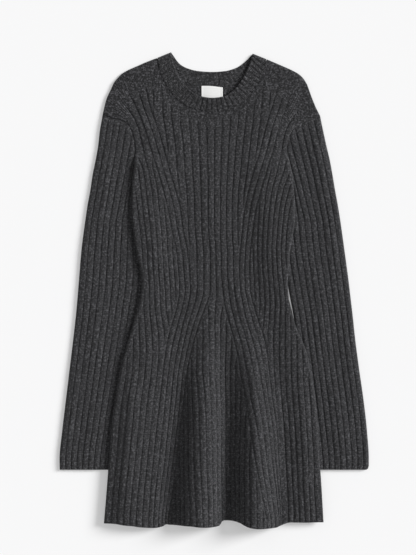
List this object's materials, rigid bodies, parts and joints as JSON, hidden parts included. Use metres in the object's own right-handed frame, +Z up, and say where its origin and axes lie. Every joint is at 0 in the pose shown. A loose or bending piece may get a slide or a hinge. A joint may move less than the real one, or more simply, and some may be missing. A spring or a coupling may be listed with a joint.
{
  "type": "sweater dress",
  "caption": "Long sleeved crew neck rib knit dress with a fitted waist and a flared skirt, laid flat on its back with its sleeves at its sides.",
  "frame": {"origin": "centre of the bounding box's bottom face, on the surface that the dress lies on", "axes": "+Z up from the surface, out of the dress's front; +Y from hem to neck; +X to the right as seen from above, towards the wearer's left"},
  "size_m": [0.5554, 0.8564, 0.0392],
  "materials": {
    "rib_knit": "melange charcoal wool blend rib knit, matt with a slight fuzz",
    "fine_rib_knit": "the same yarn in a finer rib",
    "woven_label": "blank white woven label, slightly satin"
  },
  "bodies": {
    "root": {"front": "rib_knit", "back": "rib_knit", "sleeve_left": "rib_knit", "sleeve_right": "rib_knit", "neckband": "fine_rib_knit", "neck_label": "woven_label"}
  },
  "joints": []
}
